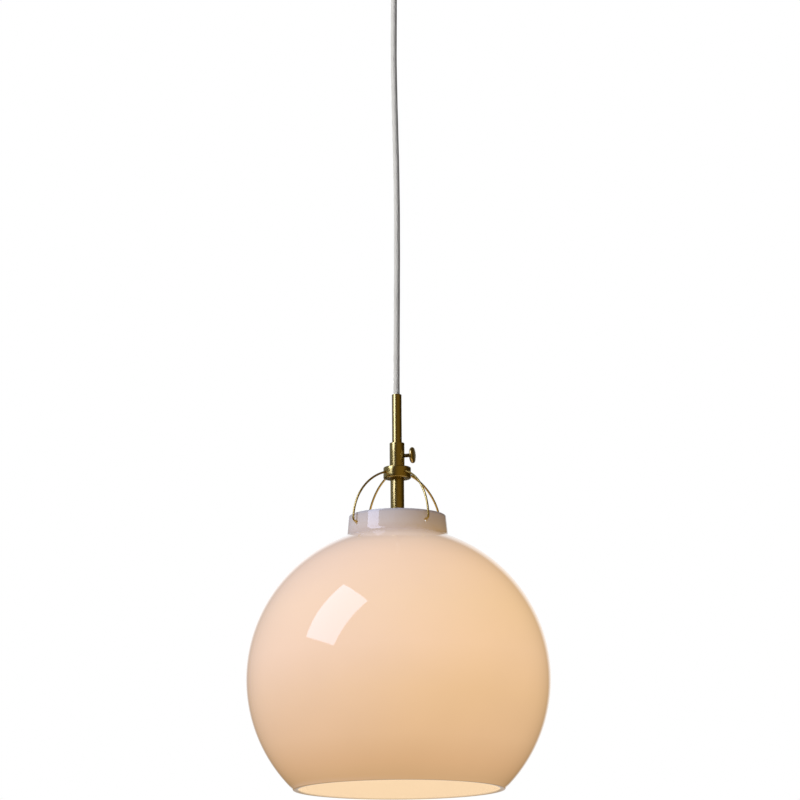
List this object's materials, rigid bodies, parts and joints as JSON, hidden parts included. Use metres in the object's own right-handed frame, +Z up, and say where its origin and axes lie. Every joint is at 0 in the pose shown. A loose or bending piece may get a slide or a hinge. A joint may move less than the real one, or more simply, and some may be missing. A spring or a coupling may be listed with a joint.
{
  "type": "pendant ceiling light",
  "caption": "Opal glass ball shade on brass wire hooks, with a sliding brass clamp collar, hung by a white cord from a round ceiling rose.",
  "frame": {"origin": "middle of the ceiling bracket's top face, which lies on the ceiling", "axes": "+Z up, along the lamp's own axis; -Y is the front, and the clamp screw points mostly along +X"},
  "size_m": [0.3, 0.3, 0.8756],
  "materials": {
    "brass_drawn": "satin, brushed along the tube and lacquered",
    "brass_turned": "satin, turned",
    "brass_spun": "satin, spun",
    "brass_wire": "satin wire",
    "spring_brass": "bright",
    "steel": "zinc plated",
    "nickel": "nickel plated",
    "opal_glass": "opal, gloss outside, lit from inside",
    "bulb_glass": "frosted white, lit",
    "clear_glass": "clear",
    "filament": "phosphor coated",
    "cord_white": "white braided cotton over a round cable",
    "white_plastic": "nylon",
    "porcelain": "glazed porcelain",
    "black_glass": "black insulator with a bright eyelet",
    "core_brown": "insulation",
    "core_blue": "insulation",
    "core_green": "insulation, green with a yellow stripe"
  },
  "bodies": {
    "ceiling": {"ceiling_bracket": "steel", "canopy_cup": "brass_spun", "canopy_side_screws": "brass_turned", "cord_grip_nipple": "brass_turned", "cord_grip_nut": "brass_turned", "cord_grip_screw": "white_plastic", "terminal_block": "white_plastic", "terminal_screws": "steel", "earth_tag": "nickel", "earth_screw": "brass_turned", "live_core_top": "core_brown", "neutral_core_top": "core_blue", "earth_core_top": "core_green", "cord_head": "cord_white"},
    "cord": {"cord": "cord_white"},
    "stem": {"stem_tube": "brass_drawn", "spacer_tube": "brass_drawn", "cord_tail": "cord_white", "cord_ferrule": "nickel", "tube_nut": "brass_turned", "holder_cap": "brass_spun", "holder_skirt": "brass_spun", "holder_insert": "porcelain", "thread_shell": "nickel", "centre_contact": "spring_brass", "holder_terminals": "spring_brass", "live_core_bottom": "core_brown", "neutral_core_bottom": "core_blue"},
    "hanger": {"slide_sleeve": "brass_drawn", "hanger_ring": "brass_turned", "hanger_wire_1": "brass_wire", "hanger_wire_2": "brass_wire", "hanger_wire_3": "brass_wire", "hanger_wire_4": "brass_wire", "glass_shade": "opal_glass"},
    "clamp_pad": {"clamp_pad": "white_plastic"},
    "clamp_screw": {"clamp_screw": "brass_turned", "clamp_knob": "brass_turned"},
    "bulb": {"bulb_cap": "nickel", "bulb_contact": "black_glass", "bulb_glass": "bulb_glass", "bulb_mount": "clear_glass", "bulb_filaments": "filament"}
  },
  "joints": [
    {"name": "swing", "type": "hinge", "parent": "ceiling", "child": "cord", "pos_m": [0, 0, -0.036], "axis": [0, 1, 0], "range_deg": [-20, 20]},
    {"name": "nod", "type": "hinge", "parent": "cord", "child": "stem", "pos_m": [0, 0, -0.483], "axis": [1, 0, 0], "range_deg": [-10, 10]},
    {"name": "shade_height", "type": "slide", "parent": "stem", "child": "hanger", "axis": [0, 0, 1], "range_m": [0, 0.045]},
    {"name": "clamp_feed", "type": "slide", "parent": "hanger", "child": "clamp_pad", "axis": [0.9659, -0.2588, 0], "range_m": [0, 0.0022]},
    {"name": "clamp_turn", "type": "hinge", "parent": "clamp_pad", "child": "clamp_screw", "pos_m": [0, 0, -0.5429], "axis": [0.9659, -0.2588, 0], "range_deg": [0, 1080]},
    {"name": "bulb_out", "type": "slide", "parent": "stem", "child": "bulb", "axis": [0, 0, -1], "range_m": [0, 0.03]}
  ],
  "couplings": [
    {"joint": "clamp_feed", "follows": "clamp_turn", "m_per_rad": 0.00011141}
  ]
}
